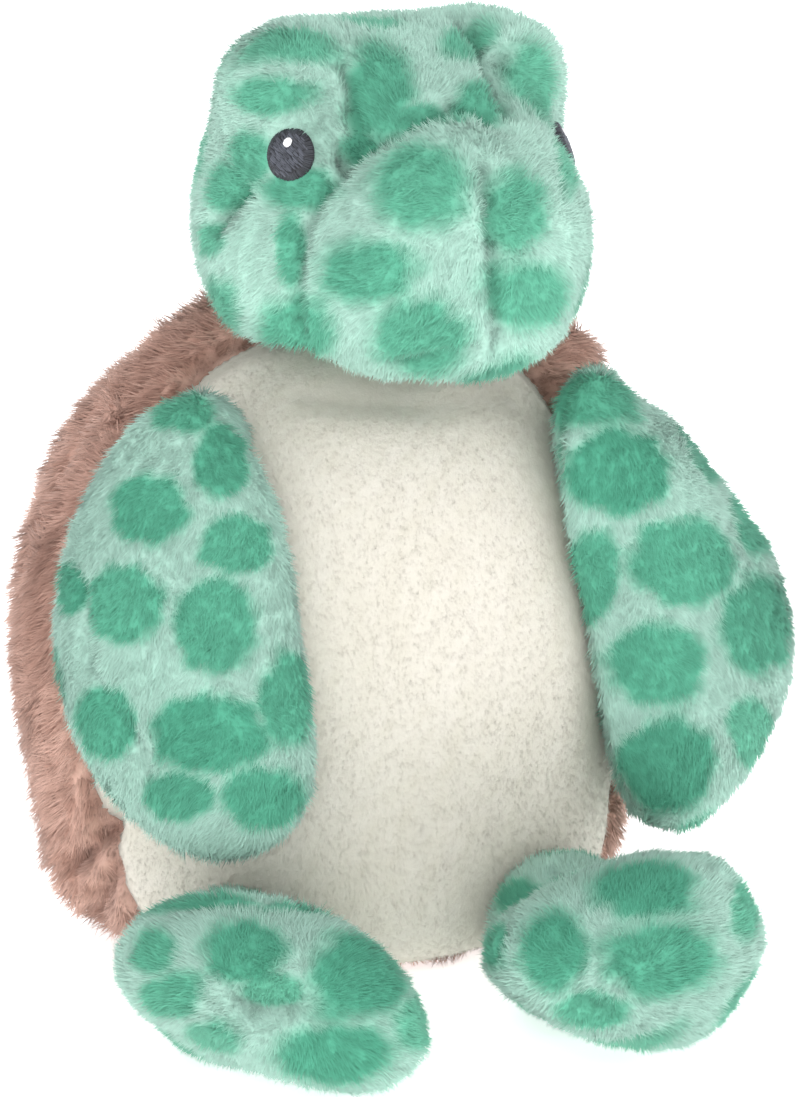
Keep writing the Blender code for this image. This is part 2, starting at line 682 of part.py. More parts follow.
def build_turtle():
    """All the pieces. Small forms are pressed in by the larger ones at every pose."""
    for old in list(bpy.data.objects):
        bpy.data.objects.remove(old)
    paints = {
        "cream": material("cream_plush", CREAM),
        "brown": material("brown_plush", SHELL_BROWN),
        "mint": material("mint_plush", MINT),
        "sole": material("green_plush", SOLE_GREEN),
        "stuffing": material("stuffing", STUFFING_WHITE),
        "beans": material("bean_cloth", BEAN_GREY),
        "eye": material("eye_thread", EYE_GREY),
        "glint": material("glint_thread", GLINT_WHITE),
    }
    torso, neck, head = torso_form(), neck_form(), head_form()
    turns = [turn_about(neck_pivot(), (0, 0, 1), angle) for angle in steps_of(HEAD_TURN_RANGE, HEAD_STEPS[0])]
    neck.presses = [(torso, turns, NECK_SEAT_GAP)]
    hollow = neck_form(NECK_ROOM_ROUND, NECK_ROOM_RISE)
    head.presses = [
        (torso, head_motions(*HEAD_STEPS), CONTACT_GAP),
        (hollow, head_motions(*HOLLOW_STEPS), 0),
    ]
    build_torso(torso, paints)
    build_neck(neck, paints)
    build_head(head, paints)
    arms = {"right_arm": RIGHT_ARM, "left_arm": LEFT_ARM}
    arm_forms = {name: arm_form(arm) for name, arm in arms.items()}
    for name, arm in arms.items():
        form = arm_forms[name]
        lifts = arm_motions(arm, ARM_STEPS)
        under_head = relative(lifts, head_motions(*HEAD_OVER_ARM_STEPS))
        form.presses = [(torso, lifts, CONTACT_GAP), (head, under_head, CONTACT_GAP)]
        build_arm(name, arm, form, paints)
    for name, leg in {"right": RIGHT_LEG, "left": LEFT_LEG}.items():
        form = leg_form(leg)
        swings = leg_motions(leg, LEG_STEPS)
        own_arm = arm_forms[name + "_arm"]
        lifts = arm_motions(arms[name + "_arm"], ARM_OVER_LEG_STEPS)
        form.presses = [
            (torso, swings[:1], HIP_GAP),
            (torso, swings[1:], leg["swing_gap"]),
            (own_arm, relative(swings, lifts), ARM_REST_GAP),
        ]
        build_leg(name, leg, form, paints)


build_turtle()
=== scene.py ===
import math

import bmesh
import bpy
import numpy as np
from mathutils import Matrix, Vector
from mathutils.bvhtree import BVHTree


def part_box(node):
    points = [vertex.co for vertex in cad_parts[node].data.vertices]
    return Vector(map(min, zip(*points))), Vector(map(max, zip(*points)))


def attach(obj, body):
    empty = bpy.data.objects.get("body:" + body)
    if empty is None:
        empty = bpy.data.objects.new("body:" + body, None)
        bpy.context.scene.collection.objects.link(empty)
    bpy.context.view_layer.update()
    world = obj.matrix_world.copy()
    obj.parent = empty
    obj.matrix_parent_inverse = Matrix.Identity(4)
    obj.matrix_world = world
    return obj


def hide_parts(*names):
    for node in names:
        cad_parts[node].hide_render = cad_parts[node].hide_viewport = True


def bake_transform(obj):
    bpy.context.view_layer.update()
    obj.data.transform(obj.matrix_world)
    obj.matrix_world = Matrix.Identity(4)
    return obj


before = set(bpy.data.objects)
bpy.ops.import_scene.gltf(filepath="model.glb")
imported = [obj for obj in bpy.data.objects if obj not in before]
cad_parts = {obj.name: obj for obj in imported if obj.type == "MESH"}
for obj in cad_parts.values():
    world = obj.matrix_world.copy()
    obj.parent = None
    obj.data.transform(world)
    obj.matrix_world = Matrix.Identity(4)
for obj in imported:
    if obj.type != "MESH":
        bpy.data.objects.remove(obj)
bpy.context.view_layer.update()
mm = 0.001
dice = np.random.default_rng(7)
density = 1.0

# the camera that the photograph was taken with, and the size of its picture
shot = {
    "azimuth": -15, "elevation": 17, "distance": 1.2,
    "aside": 0.018, "rise": 0.103, "tall": 0.307, "wide": 800, "high": 1097,
}
turnedBy, liftedBy = math.radians(shot["azimuth"]), math.radians(shot["elevation"])
camBack = np.array((
    math.sin(turnedBy) * math.cos(liftedBy), -math.cos(turnedBy) * math.cos(liftedBy), math.sin(liftedBy),
))
camRight = np.array((math.cos(turnedBy), math.sin(turnedBy), 0))
camUp = np.cross(camBack, camRight)
camEye = camRight * shot["aside"] + camUp * shot["rise"] + camBack * shot["distance"]
halfTall = shot["tall"] / 2 / shot["distance"]


def aimOf(x, y):  # the way that a pixel of the picture looks
    across = (x - shot["wide"] / 2) / shot["high"] * 2 * halfTall
    upward = (shot["high"] / 2 - y) / shot["high"] * 2 * halfTall
    return unit(camRight * across + camUp * upward - camBack)


def pixelAt(place):  # how long a pixel of the picture is there
    return 2 * halfTall * np.linalg.norm(camEye - place) / shot["high"]


def unit(rows):
    return rows / np.maximum(np.linalg.norm(rows, axis=-1, keepdims=True), 1e-9)


def step(low, high, values):  # a soft step from 0 to 1
    t = np.clip((values - low) / (high - low), 0, 1)
    return t * t * (3 - 2 * t)


def linear(code):  # a colour as it is written on a paint card, made linear
    parts = [int(code[i:i + 2], 16) / 255 for i in (0, 2, 4)]
    return np.array([p / 12.92 if p <= 0.04045 else ((p + 0.055) / 1.055) ** 2.4 for p in parts])


class Ripple:  # smooth seeded noise made of crossed waves
    def __init__(self, wavelength, seed, count=12):
        rng = np.random.default_rng(seed)
        ways = unit(rng.normal(size=(count, 3)))
        self.waves = ways * 2 * math.pi / (wavelength * rng.uniform(0.7, 1.5, (count, 1)))
        self.shift = rng.uniform(0, 2 * math.pi, count)
        self.size = math.sqrt(2 / count)

    def at(self, points):
        return np.sin(points @ self.waves.T + self.shift).sum(1) * self.size


class RippleField:  # the same in three directions
    def __init__(self, wavelength, seed):
        self.parts = [Ripple(wavelength, seed + i) for i in range(3)]

    def at(self, points):
        return np.stack([part.at(points) for part in self.parts], 1)


# shaders
class Value:  # a shader socket that adds Math nodes when it is reckoned with
    def __init__(self, tree, socket):
        self.tree, self.socket = tree, socket

    def reckon(self, kind, a, b):
        made = self.tree.nodes.new("ShaderNodeMath")
        made.operation = kind
        plug(self.tree, made.inputs[0], a)
        plug(self.tree, made.inputs[1], b)
        return Value(self.tree, made.outputs[0])

    def __add__(self, other):
        return self.reckon("ADD", self, other)

    def __mul__(self, other):
        return self.reckon("MULTIPLY", self, other)

    __radd__ = __add__
    __rmul__ = __mul__


def plug(tree, target, value):
    if isinstance(value, Value):
        tree.links.new(value.socket, target)
    else:
        target.default_value = value


class Finish:  # one material and its nodes
    def __init__(self, name, roughness=0.9, sheen=0.0, sheenTint=(1, 1, 1), specular=0.3):
        self.material = bpy.data.materials.new(name)
        self.material.use_nodes = True
        self.tree = self.material.node_tree
        self.shader = self.tree.nodes["Principled BSDF"]
        constants = {
            "Roughness": roughness, "Specular IOR Level": specular, "Sheen Weight": sheen,
            "Sheen Roughness": 0.45, "Sheen Tint": (*sheenTint, 1),
        }
        for socket, value in constants.items():
            self.shader.inputs[socket].default_value = value

    def add(self, kind, settings=None, sockets=None, out=0):
        made = self.tree.nodes.new(kind)
        for key, value in (settings or {}).items():
            setattr(made, key, value)
        for key, value in (sockets or {}).items():
            plug(self.tree, made.inputs[key], value)
        return Value(self.tree, made.outputs[out])

    def tint(self):  # the colour that the mesh carries
        return self.add("ShaderNodeAttribute", {"attribute_name": "tint"}, None, "Color")

    def scaled(self, colour, factor):
        return self.add("ShaderNodeVectorMath", {"operation": "SCALE"}, {0: colour, 3: factor})

    def noise(self, scale, detail, rough):
        place = self.add("ShaderNodeTexCoord", out="Object")
        sockets = {"Vector": place, "Scale": scale, "Detail": detail, "Roughness": rough}
        return self.add("ShaderNodeTexNoise", None, sockets, "Fac")

    def wear(self, **sockets):  # what goes into the shader's own sockets
        for key, value in sockets.items():
            plug(self.tree, self.shader.inputs[key.replace("_", " ")], value)

    def bumped(self, height, strength, depth):
        sockets = {"Height": height, "Strength": strength, "Distance": depth}
        self.wear(Normal=self.add("ShaderNodeBump", None, sockets))


def pileFinish(name, sheen, sheenTint, streaky):  # the hair: its colour is in the mesh, its streaks are here
    made = Finish(name, roughness=0.9, sheen=sheen, sheenTint=sheenTint, specular=0.12)
    tint = made.tint()
    streaks = made.noise(scale=700, detail=3, rough=0.6)
    made.wear(Base_Color=made.scaled(tint, 1 - streaky / 2 + streaks * streaky), Roughness=0.8 + streaks * 0.2)
    return made.material


def clothFinish(name, sheenTint):  # the backing under the pile
    made = Finish(name, roughness=0.95, sheen=0.2, sheenTint=sheenTint, specular=0.15)
    tint = made.tint()
    roots = made.noise(scale=1500, detail=3, rough=0.7)
    tufts = made.noise(scale=420, detail=2, rough=0.6)
    made.wear(Base_Color=made.scaled(tint, 0.98 + roots * 0.1 + tufts * 0.06), Roughness=0.85 + roots * 0.12)
    made.bumped(roots * 0.5 + tufts, strength=0.4, depth=0.4 * mm)
    return made.material


# forms
def soupOf(nodes):  # the faces of CAD nodes in one list of points and triangles
    points, faces = [], []
    for node in nodes:
        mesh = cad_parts[node].data
        start = len(points)
        points += [v.co.copy() for v in mesh.vertices]
        faces += [[start + i for i in p.vertices] for p in mesh.polygons]
    return points, faces


cloth = {
    "far": 300 * mm,  # where the rays that find the covers start
    "closing": 6,  # times evened, which closes the slits between the covers
    "lowest": 0.3 * mm,  # nothing sinks into the floor
    "reach": 15 * mm,  # covers further off than this have no seam here
    "fading": 20 * mm,  # how far a seam that fades out is moved off
    "deepSeam": 1.6 * mm, "seamShade": 2.4 * mm, "paleSeam": 4 * mm,  # shallow seams shade the pile less
    # the next line also holds the painted shade on the covers' seams: how dark at most, and how wide
    "deepFold": 1.2 * mm, "paintedSeamShade": 0.3, "seamWide": 2 * mm, "thick": 2 * mm,
}


class Skin:  # the outer surface of one stuffed form, drawn from a ball onto the CAD covers
    def __init__(self, covers, inner, level, evening=60, bulge=0.5 * mm):
        points, faces = soupOf(covers + inner)
        tree = BVHTree.FromPolygons(points, faces)
        cloud = np.array(soupOf(inner or covers)[0])
        self.middle = (cloud.max(0) + cloud.min(0)) / 2
        half = (cloud.max(0) - cloud.min(0)) / 2
        ball = bmesh.new()
        bmesh.ops.create_icosphere(ball, subdivisions=level, radius=1)
        ball.verts.ensure_lookup_table()
        ways = unit(np.array([v.co for v in ball.verts]) * half)
        self.neighbours = np.tile(np.arange(len(ways))[:, None], 6)
        filled = [0] * len(ways)
        for edge in ball.edges:
            a, b = edge.verts[0].index, edge.verts[1].index
            self.neighbours[a, filled[a]], self.neighbours[b, filled[b]] = b, a
            filled[a] += 1
            filled[b] += 1
        self.faces = np.array([[v.index for v in f.verts] for f in ball.faces])
        ball.free()
        self.points = np.empty_like(ways)
        for i, way in enumerate(ways):
            hit = tree.ray_cast(Vector(self.middle + way * cloth["far"]), Vector(-way))[0]
            self.points[i] = hit if hit else self.middle + way * half.min()
        self.points = self.evened(self.points, cloth["closing"])
        once = self.evened(self.points, evening)
        self.points = once + self.evened(self.points - once, evening)
        self.refresh()
        self.points += self.normals * bulge
        self.points[:, 2] = np.maximum(self.points[:, 2], cloth["lowest"])
        self.refresh()
        self.seam = np.full(len(self.points), 1.0)
        self.hollow = np.zeros(len(self.points))

    def evened(self, values, times):
        for _ in range(times):
            values = (values + values[self.neighbours].mean(1)) / 2
        return values

    def refresh(self):
        corners = self.points[self.faces]
        flat = np.cross(corners[:, 1] - corners[:, 0], corners[:, 2] - corners[:, 0])
        self.areas = np.linalg.norm(flat, axis=1) / 2
        sums = np.zeros_like(self.points)
        for corner in range(3):
            np.add.at(sums, self.faces[:, corner], flat)
        self.normals = unit(sums)
        self.tree = BVHTree.FromPolygons([Vector(p) for p in self.points], self.faces.tolist())

    def facing(self):  # how far each point looks at the photograph's camera
        return (self.normals * unit(camEye - self.points)).sum(1)

    def seen(self, x, y):  # the place on the form under a pixel
        hit, normal, _, _ = self.tree.ray_cast(Vector(camEye), Vector(aimOf(x, y)))
        return (np.array(hit), np.array(normal)) if hit else (None, None)

    def groove(self, away, depth, width):
        self.points -= self.normals * (depth * np.exp(-(away / width) ** 2))[:, None]
        shallow = cloth["paleSeam"] * max(0, 1 - depth / cloth["deepSeam"])
        self.seam = np.minimum(self.seam, away * cloth["seamShade"] / width + shallow)

    def sewCovers(self, groups, depth, width, weight=None, lookup=None):  # a groove where two covers meet
        near = []
        places = self.points if lookup is None else lookup(self.points)
        for group in groups:
            tree = BVHTree.FromPolygons(*soupOf(group))
            near.append([tree.find_nearest(Vector(p), cloth["reach"])[3] or cloth["reach"] for p in places])
        near = np.sort(np.array(near), 0)
        away = self.evened(near[1] - near[0], 2)
        if weight is not None:
            away += (1 - weight) * cloth["fading"]
        self.groove(away, depth, width)
        self.refresh()

    def crease(self, pixels, depth, width, mirror=None):  # a sewn or pressed line that the photograph shows
        line = [self.seen(x, y)[0] for x, y in pixels]
        line = np.array([p for p in line if p is not None])
        for path in (line,) if mirror is None else (line, mirror(line)):
            away = np.full(len(self.points), 1.0)
            for a, b in zip(path[:-1], path[1:]):
                run = b - a
                share = np.clip((self.points - a) @ run / (run @ run), 0, 1)
                away = np.minimum(away, np.linalg.norm(self.points - a - share[:, None] * run, axis=1))
            self.groove(away, depth, width)
        self.refresh()

    def swell(self, pixel, height, radius, mirror=None):  # a fuller place, or with a height below 0 a hollow
        place = self.seen(*pixel)[0]
        for middle in (place,) if mirror is None else (place, mirror(place[None])[0]):
            near = np.exp(-(np.linalg.norm(self.points - middle, axis=1) / radius) ** 2)
            self.points += self.normals * (height * near)[:, None]
        self.refresh()

    def push(self, pixel, shift, radius):  # moves a place by so many pixels of the picture
        place, aim = self.seen(*pixel)[0], aimOf(*pixel)
        if place is None:  # past the outline, so the place that comes nearest
            off = self.points - camEye
            place = self.points[np.linalg.norm(off - (off @ aim)[:, None] * aim, axis=1).argmin()]
        near = np.exp(-(np.linalg.norm(self.points - place, axis=1) / radius) ** 2)
        self.points += near[:, None] * (camRight * shift[0] - camUp * shift[1]) * pixelAt(place)
        self.points[:, 2] = np.maximum(self.points[:, 2], cloth["lowest"])
        self.refresh()

    def shape(self, form):  # what the photograph shows on this form, in this order
        for work, marks in ((self.swell, "swells"), (self.push, "pushes"), (self.crease, "creases")):
            for mark in form.get(marks, {}).values():
                work(*mark)

    def sink(self, times):  # from 1 in the deepest hollows to -1 on the fullest places
        lower = ((self.evened(self.points, times) - self.points) * self.normals).sum(1)
        self.hollow = np.clip(lower / cloth["deepFold"], -1, 1)

    def sow(self, count, faces=None):  # roots of the pile, evenly spread at random
        faces = np.arange(len(self.faces)) if faces is None else faces
        areas = self.areas[faces]
        chosen = faces[dice.choice(len(faces), count, p=areas / areas.sum())]
        a, b = dice.random(count), dice.random(count)
        over = a + b > 1
        a[over], b[over] = 1 - a[over], 1 - b[over]
        shares = np.stack([1 - a - b, a, b], 1)
        corners = self.faces[chosen]
        points = (self.points[corners] * shares[:, :, None]).sum(1)
        normals = unit((self.normals[corners] * shares[:, :, None]).sum(1))
        seams = (self.seam[corners] * shares).sum(1)
        hollows = (self.hollow[corners] * shares).sum(1)
        return points, normals, seams, hollows


class Root(Skin):  # a stuffed lump that joins an arm to the body, seen when the arm is raised
    def __init__(self, body, joint, radius, hidden):
        end = body.tree.find_nearest(Vector(joint))[0]
        if hidden:  # it runs straight away from the camera, so that the arm covers it
            end = body.tree.ray_cast(Vector(joint), Vector(-camBack))[0] or end
        gap = np.linalg.norm(np.array(end) - joint)
        way = (np.array(end) - joint) / gap
        overlap = 5 * mm
        ball = bmesh.new()
        bmesh.ops.create_icosphere(ball, subdivisions=4, radius=1)
        sphere = np.array([v.co for v in ball.verts])
        self.faces = np.array([[v.index for v in f.verts] for f in ball.faces])
        ball.free()
        along = (sphere @ way)[:, None] * way
        self.points = joint + way * gap / 2 + (sphere - along) * radius + along * (gap / 2 + overlap)
        self.seam, self.hollow = np.full(len(sphere), 1.0), np.zeros(len(sphere))
        self.refresh()


# colours
mint = {
    "light": linear("B3DBCC"), "spot": linear("75C7A9"), "deep": linear("42A183"),
    "wobble": 0.045, "wobbleSize": 7 * mm, "apart": 25 * mm, "radius": (9.5 * mm, 12 * mm),
    "strength": (0.75, 1), "paleBelow": 0.45, "narrow": (0.75, 1), "evened": 5 * mm, "broad": 0.03, "fine": 0.025,
    "unseen": 0.1,  # places that face the camera less than this repeat the print at random
}
cream = {"light": linear("D6D1C7"), "dark": linear("CCC7B9"), "broad": 0.12, "fine": 0.15}
brown = {"light": linear("E8BEAE"), "dark": linear("AE8272"), "broad": 0.2, "fine": 0.25}
spotWobble = Ripple(mint["wobbleSize"], 31)
broadTone, fineTone = Ripple(38 * mm, 41), Ripple(5 * mm, 51)


class Spots:  # the printed spots of one form: pixel, width, height and now and then a strength
    def __init__(self, skin, form):
        # painted light: a form may have its light mint made paler, as if it were lit more brightly
        self.edge, self.light = form["edge"], mint["light"] * form.get("paintedLight", 1)
        self.centres, self.normals, self.maps, self.strengths, self.sizes = [], [], [], [], []
        rng = np.random.default_rng(form["seed"])
        for x, y, wide, high, *strength in form["spots"]:
            place, normal = skin.seen(x, y)
            if place is None:
                continue
            normal = self.evenNormal(skin, place)
            back = -aimOf(x, y)
            facing = max(normal @ back, 0.5)
            sides = []
            for way, size in ((camRight, wide), (camUp, high)):
                side = way - back * (way @ normal) / facing
                side -= normal * (side @ normal)
                sides.append(side * size / 2 * pixelAt(place))
            self.keep(place, normal, sides, strength[0] if strength else rng.uniform(*mint["strength"]))
        for i in rng.permutation(len(skin.points)):  # the same print goes on where the camera doesn't see
            place, normal = skin.points[i], skin.normals[i]
            if normal @ unit(camEye - place) > mint["unseen"]:
                continue
            gaps = np.linalg.norm(np.array(self.centres) - place, axis=1) if self.centres else np.ones(1)
            if gaps.min() < mint["apart"]:
                continue
            first = unit(np.cross(normal, rng.normal(size=3)))
            second = np.cross(normal, first)
            radius = rng.uniform(*mint["radius"])
            sides = [first * radius, second * radius * rng.uniform(*mint["narrow"])]
            self.keep(place, normal, sides, rng.uniform(*mint["strength"]))

    def evenNormal(self, skin, place):
        close = np.linalg.norm(skin.points - place, axis=1) < mint["evened"]
        return unit(skin.normals[close].mean(0))

    def keep(self, centre, normal, sides, strength):
        self.centres.append(centre)
        self.normals.append(normal)
        self.maps.append(np.linalg.pinv(np.array(sides).T))
        self.strengths.append(strength)
        self.sizes.append(max(np.linalg.norm(side) for side in sides))

    def tint(self, points, normals):
        wobble = spotWobble.at(points) * mint["wobble"]
        best, deep = np.zeros(len(points)), np.zeros(len(points))
        for centre, normal, plan, strength, size in zip(
            self.centres, self.normals, self.maps, self.strengths, self.sizes
        ):
            away = points - centre
            near = (np.abs(away) < size * 1.6).all(1)
            off = np.linalg.norm(away[near] @ plan.T, axis=1) + wobble[near]
            mask = (1 - step(1 - self.edge, 1 + self.edge, off)) * step(-0.2, 0.2, normals[near] @ normal)
            mask *= 1 - step(0.8, 1.2, np.abs(away[near] @ normal) / size)
            best[near] = np.maximum(best[near], mask)
            deep[near] = np.maximum(deep[near], mask * strength)
        tone = 1 + broadTone.at(points) * mint["broad"] + fineTone.at(points) * mint["fine"]
        spot = mint["spot"] + (mint["deep"] - mint["spot"]) * np.clip(deep - mint["paleBelow"], 0, 1)[:, None]
        return (self.light + (spot - self.light) * best[:, None]) * tone[:, None]


def twoTone(paint):  # a plain cloth, whose colour wanders between two tones
    def tint(points, normals):
        wander = broadTone.at(points) * paint["broad"] + fineTone.at(points) * paint["fine"]
        share = 1 - np.clip(0.5 + wander, 0, 1) * 0.7
        return paint["dark"] + (paint["light"] - paint["dark"]) * share[:, None]
    return tint


# pieces
def meshOf(name, points, faces, tints, normals=None):
    mesh = bpy.data.meshes.new(name)
    mesh.vertices.add(len(points))
    mesh.vertices.foreach_set("co", points.astype(np.float32).ravel())
    mesh.loops.add(faces.size)
    mesh.loops.foreach_set("vertex_index", faces.astype(np.int32).ravel())
    mesh.polygons.add(len(faces))
    mesh.polygons.foreach_set("loop_start", np.arange(0, faces.size, 3, dtype=np.int32))
    mesh.update(calc_edges=True)
    paint = mesh.color_attributes.new("tint", "FLOAT_COLOR", "POINT")
    rgba = np.ones((len(points), 4), np.float32)
    rgba[:, :3] = np.clip(tints, 0, 1)
    paint.data.foreach_set("color", rgba.ravel())
    mesh.shade_smooth()
    if normals is not None:
        mesh.normals_split_custom_set_from_vertices(normals)
    return mesh


bends = {}  # for each limb: up to where it stays by the torso, and from where it swings freely


def pieceOf(name, mesh, finish, body):
    piece = bpy.data.objects.new(name, mesh)
    bpy.context.scene.collection.objects.link(piece)
    mesh.materials.append(finish)
    if body in bends:
        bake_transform(piece)
    else:
        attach(piece, body)
    return piece


def strands(name, lines, radii, tints, lean, sides=3, startPointed=False, soft=0.7):
    # closed hairs or stitches: a ring at each stop, a point at the end
    count, stops = lines.shape[:2]
    along = unit(lines[:, -1] - lines[:, 0])
    first = unit(np.cross(along, lean) + 1e-6)
    second = np.cross(along, first)
    spin = dice.uniform(0, 2 * math.pi, count)
    points, normals, colours, rings = [], [], [], []
    for stop in range(stops):
        pointed = stop == stops - 1 or (startPointed and stop == 0)
        ring = []
        for side in range(1 if pointed else sides):
            turn = spin + 2 * math.pi * side / sides
            outward = first * np.cos(turn)[:, None] + second * np.sin(turn)[:, None]
            ring.append(len(points))
            points.append(lines[:, stop] + (0 if pointed else outward * radii[:, stop, None]))
            normals.append(unit(lean * soft + (0 if pointed else outward * (1 - soft))))
            colours.append(tints[:, stop])
        rings.append(ring)
    table = []
    for low, high in zip(rings[:-1], rings[1:]):
        for side in range(sides):
            after = (side + 1) % sides
            if len(low) == 1:
                table.append((high[after], high[side], low[0]))
            elif len(high) == 1:
                table.append((low[side], low[after], high[0]))
            else:
                table += [(low[side], low[after], high[after]), (low[side], high[after], high[side])]
    if not startPointed:
        table += [(rings[0][0], rings[0][side + 1], rings[0][side]) for side in range(1, sides - 1)]
    per = len(points)
    stacked = [np.stack(part, 1).reshape(-1, 3) for part in (points, normals, colours)]
    faces = (np.array(table)[None] + (np.arange(count) * per)[:, None, None]).reshape(-1, 3)
    return meshOf(name, stacked[0], faces, stacked[2], stacked[1])


def growPile(name, skin, style, tintOf, combOf, body, finish, faces=None, bare=None):
    count = int(style["hairs"] * style["pieces"] * density)
    roots, normals, seams, hollows = skin.sow(count, faces)
    order = np.argsort(roots[:, 0])
    if bare is not None:
        order = order[bare(roots[order]) > 1]
    roots, normals, seams, hollows = roots[order], normals[order], seams[order], hollows[order]
    rim = np.ones(len(roots)) if bare is None else step(1, 1.5, bare(roots))
    count = len(roots)
    comb = combOf(roots, normals)
    comb = comb + RippleField(style["swirlSize"], 61).at(roots) * style["swirl"]
    comb = comb + dice.normal(size=(count, 3)) * style["stray"]
    comb = comb - normals * (comb * normals).sum(1)[:, None]
    flat = step(0, 0.5, np.linalg.norm(comb, axis=1))
    comb = unit(comb)
    upright, short, bald = style["upright"], style["shortAtSeams"], style["shortAtRims"]
    lean = np.radians(style["lean"]) * dice.uniform(*style["leanVary"], count) * (upright + (1 - upright) * flat)
    way = normals * np.cos(lean)[:, None] + comb * np.sin(lean)[:, None]
    tall = style["long"] * dice.uniform(1 - style["vary"], 1 + style["vary"], count)
    tall *= (short + (1 - short) * step(0, style["seamReach"], seams)) * (bald + (1 - bald) * rim)
    clump = RippleField(style["clumpSize"], 71).at(roots) * style["clump"]
    tips = roots + way * tall[:, None] + clump
    roots = roots - normals * style["planted"]
    # painted shade along the seams and in the hollows, painted light on the fullest places
    shade = 1 - style["seamShade"] * np.exp(-(seams / style["seamWide"]) ** 2)
    shade *= 1 - style["foldShade"] * np.clip(hollows, 0, 1) + style["crownShine"] * np.clip(-hollows, 0, 1)
    printed = roots + (tips - roots) * 0.6  # the print is laid on the pile, so it follows the lying hairs
    printed -= normals * ((printed - roots) * normals).sum(1)[:, None]
    base = tintOf(printed, normals) * (dice.normal(1, style["tone"], count) * shade)[:, None]
    lines = np.stack([roots, tips], 1)
    lines[:, :, 2] = np.maximum(lines[:, :, 2], style["lowest"])
    thick = style["thick"] * dice.uniform(*style["thickVary"], count)
    radii = thick[:, None] * np.array((1, 0))
    # painted shade towards each hair's root and painted light towards its tip
    tints = base[:, None, :] * np.array((style["root"], style["tip"]))[None, :, None]
    dim = np.clip(1 - base.mean(1) / base.mean(1).max(), 0, 0.5)
    tints[:, 0] *= (1 - style["sunk"] * dim)[:, None]  # painted shade between the hairs: dark hair is darker still at its root
    for i, part in enumerate(np.array_split(np.arange(count), style["pieces"])):
        label = name if style["pieces"] == 1 else f"{name}{i + 1}"
        mesh = strands(label, lines[part], radii[part], tints[part], normals[part], soft=style["soft"])
        pieceOf(label, mesh, finish, body)
    print("pile", name, count, "hairs")


# a cover whose colour is scaled down as painted shade that stands for the shade under the pile, on the belly not at
# all
def skinPiece(name, skin, tintOf, finish, body, faces=None, paintedShadeUnderPile=0.84):
    # painted shade along the seams, darkest in the middle of each groove
    shade = cloth["paintedSeamShade"] * np.exp(-(skin.seam / cloth["seamWide"]) ** 2)
    tints = tintOf(skin.points, skin.normals) * (paintedShadeUnderPile - shade)[:, None]
    used = skin.faces if faces is None else skin.faces[faces]
    points = skin.points
    if faces is not None:
        kept, used = np.unique(used, return_inverse=True)
        used = used.reshape(-1, 3)
        points, tints = points[kept], tints[kept]
    piece = pieceOf(name, meshOf(name, points, used, tints), finish, body)
    if faces is not None:
        wall = piece.modifiers.new("wall", "SOLIDIFY")
        wall.thickness, wall.offset = cloth["thick"], -1
    print("skin", name, len(used), "faces")
    return piece


mintPileFinish = pileFinish("mintPile", sheen=0.25, sheenTint=(0.85, 1, 0.94), streaky=0.12)
mintClothFinish = clothFinish("mintBacking", (0.75, 1, 0.9))
creamPileFinish = pileFinish("creamPile", sheen=0.3, sheenTint=(1, 0.98, 0.92), streaky=0.04)
creamClothFinish = clothFinish("creamBacking", (1, 0.98, 0.92))
brownPileFinish = pileFinish("brownPile", sheen=0.4, sheenTint=(1, 0.82, 0.76), streaky=0.2)
brownClothFinish = clothFinish("brownBacking", (1, 0.82, 0.76))

mintStyle = {
    "hairs": 47000, "pieces": 1, "long": 3.1 * mm, "vary": 0.3, "lean": 64, "upright": 0.35, "thick": 0.2 * mm,
    "swirl": 0.35, "swirlSize": 24 * mm, "stray": 0.26, "clump": 0.35 * mm, "clumpSize": 4.5 * mm,
    # root and tip: painted shade at the hair's root and painted light at its tip; sunk: more painted shade at the
    # roots of dark hair
    "tone": 0.022, "root": 0.95, "tip": 1.02, "soft": 0.96, "sunk": 0.5,
    "shortAtSeams": 0.35, "seamReach": 4.5 * mm, "seamShade": 0.3, "seamWide": 1.8 * mm, "shortAtRims": 0.45,
    "foldShade": 0.26, "crownShine": 0.07, "planted": 0.4 * mm, "lowest": 0.2 * mm,
    "leanVary": (0.75, 1.2), "thickVary": (0.75, 1.25),
}
creamStyle = mintStyle | {
    "long": 1.8 * mm, "lean": 77, "thick": 0.13 * mm, "clump": 0.04 * mm, "swirl": 0.2, "tone": 0.006,
    # the cream hair is lifted evenly from root to tip, a painted light over the shade among the hairs
    "root": 1.05, "tip": 1.05, "soft": 1.0, "sunk": 0,
}
brownStyle = mintStyle | {
    "pieces": 2, "long": 5.0 * mm, "lean": 50, "thick": 0.23 * mm,
    "clump": 0.9 * mm, "clumpSize": 7 * mm, "swirl": 0.5, "tone": 0.045,
    # stronger painted shade at the roots and painted light at the tips of the long brown hair
    "root": 0.8, "tip": 1.12, "soft": 0.86, "sunk": 0.3,
}


sole = {"near": 20 * mm, "down": 0.35}


def combed(way):  # pile that lies one way
    return lambda points, normals: np.tile(np.array(way, float), (len(points), 1))


def combedFrom(tuft):  # pile that lies outward from a place, and down
    return lambda points, normals: (points - tuft) / sole["near"] + np.array((0, 0, -sole["down"]))


